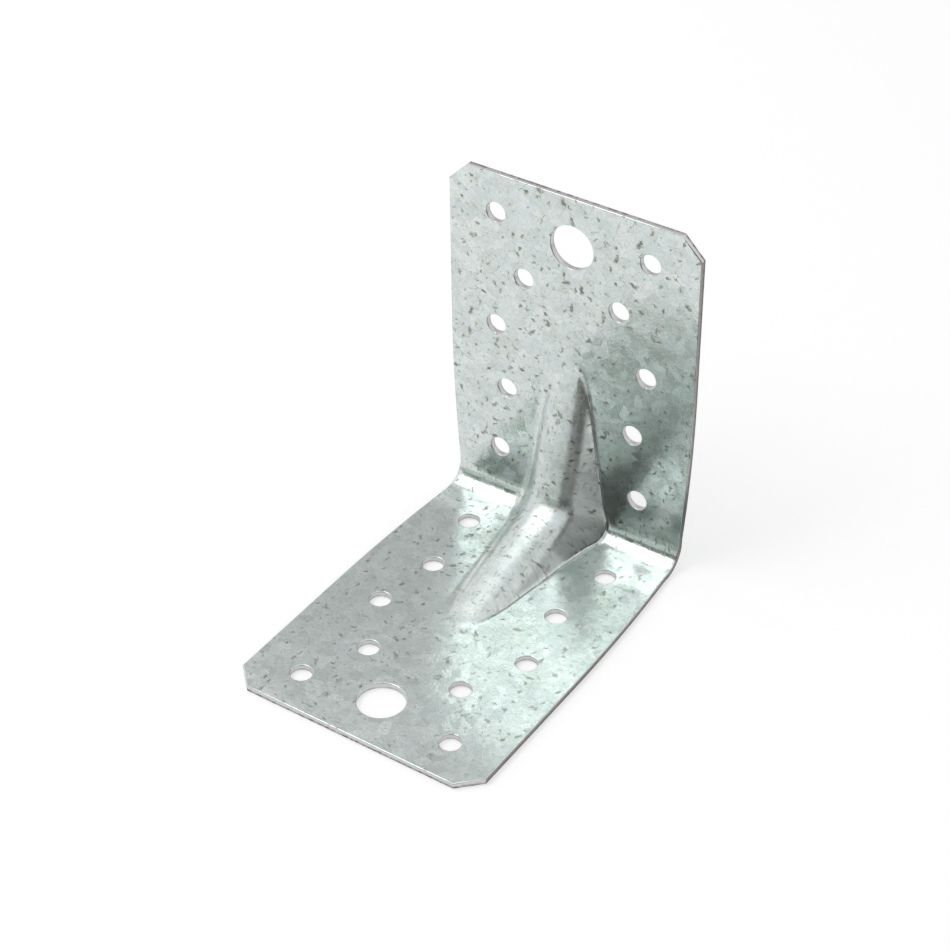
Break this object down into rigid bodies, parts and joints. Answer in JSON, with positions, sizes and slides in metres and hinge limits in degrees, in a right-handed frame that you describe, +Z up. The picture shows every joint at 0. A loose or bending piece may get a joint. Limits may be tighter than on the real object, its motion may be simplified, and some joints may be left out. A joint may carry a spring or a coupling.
{
  "type": "reinforced angle bracket",
  "caption": "Galvanised steel angle bracket with equal legs, punched with nail holes and a bolt hole in each, stiffened by a hollow rib pressed inwards across the fold.",
  "frame": {"origin": "centre of the base leg's underside, midway between its free end and the back face of the wall leg", "axes": "+X across the width, +Y from the base leg's free end to the back face of the wall leg, +Z up along the wall leg"},
  "size_m": [0.065, 0.09, 0.09],
  "materials": {
    "galvanised_steel": "hot-dip galvanised, fine spangle, semi-gloss"
  },
  "bodies": {
    "root": {"bracket": "galvanised_steel"}
  },
  "joints": []
}
